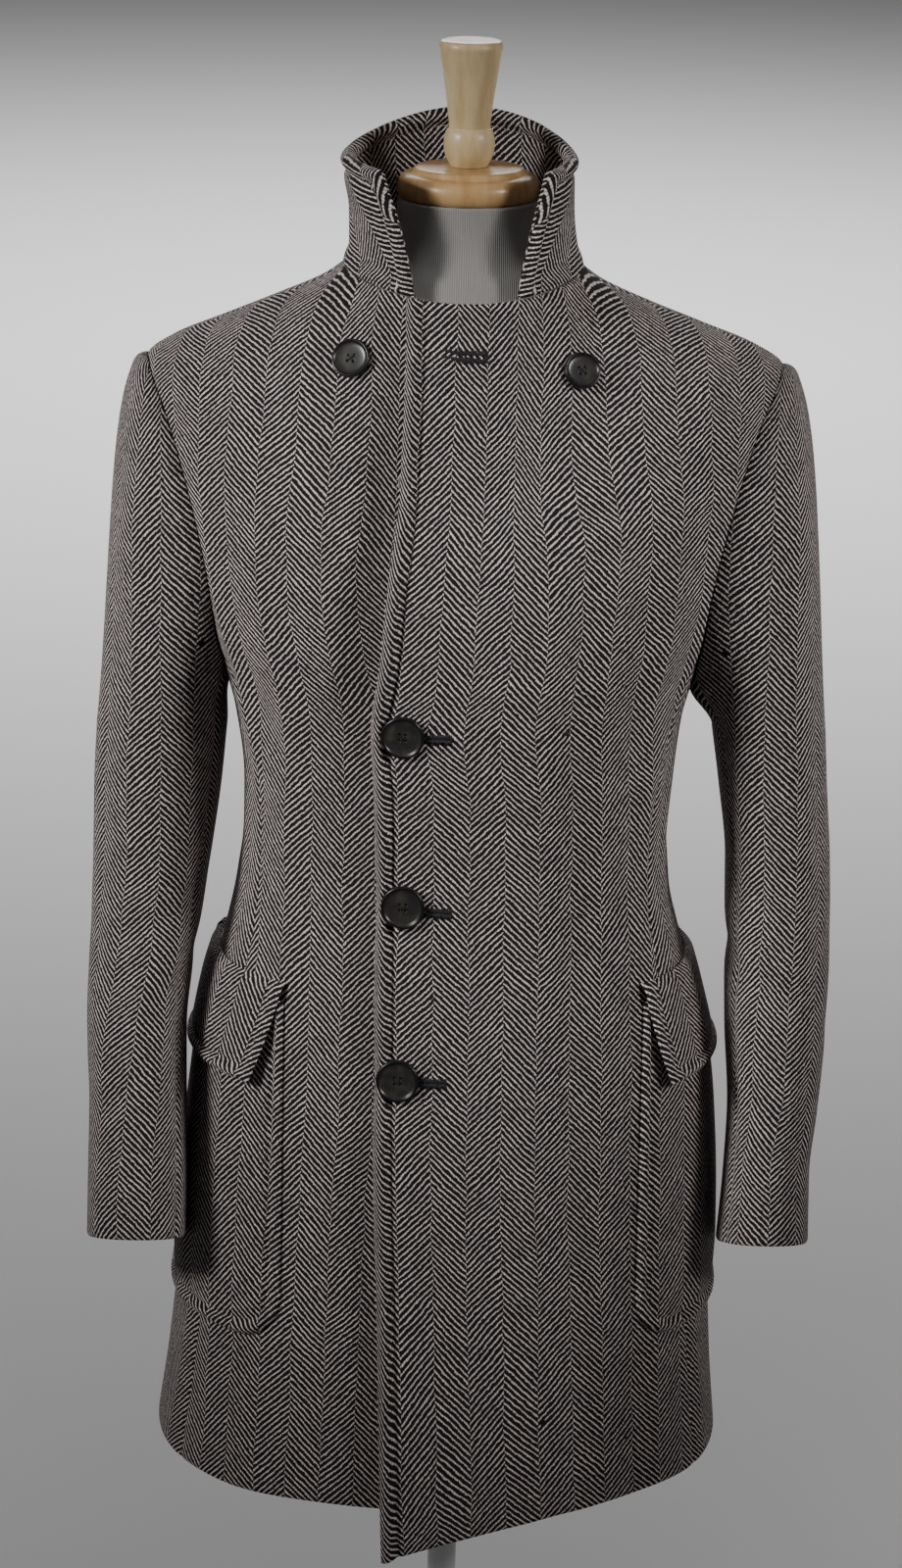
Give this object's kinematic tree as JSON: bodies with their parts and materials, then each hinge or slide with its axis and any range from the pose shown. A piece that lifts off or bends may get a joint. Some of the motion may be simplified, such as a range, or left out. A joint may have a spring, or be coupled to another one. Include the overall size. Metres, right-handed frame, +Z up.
{
  "type": "double-breasted overcoat on a limbless dress form",
  "caption": "Fitted herringbone tweed overcoat with a turned-up collar, overlapping buttoned front and flapped patch pockets, on a limbless dress form with a wooden neck cap, pole and base.",
  "frame": {"origin": "middle of the underside of the round base, on the floor", "axes": "+Z up, -Y out of the coat's front, +X to the wearer's left"},
  "size_m": [0.546, 0.394, 1.4845],
  "materials": {
    "tweed": "napped herringbone weave",
    "horn": "polished",
    "jersey": "fine ribbed jersey",
    "cap_wood": "gloss lacquer",
    "finial_wood": "satin lacquer",
    "white_paint": "satin"
  },
  "bodies": {
    "root": {"front_left": "tweed", "front_right": "tweed", "side_left": "tweed", "side_right": "tweed", "back_left": "tweed", "back_right": "tweed", "sleeve_left_top": "tweed", "sleeve_left_under": "tweed", "sleeve_right_top": "tweed", "sleeve_right_under": "tweed", "collar_under": "tweed", "collar_top": "tweed", "pocket_left": "tweed", "pocket_right": "tweed", "flap_left": "tweed", "flap_right": "tweed", "button_front_top": "horn", "button_front_middle": "horn", "button_front_low": "horn", "button_chest_right": "horn", "button_chest_left": "horn", "form_torso": "jersey", "form_neck_cap": "cap_wood", "form_finial": "finial_wood", "form_pole": "white_paint", "form_base": "white_paint"}
  },
  "joints": []
}
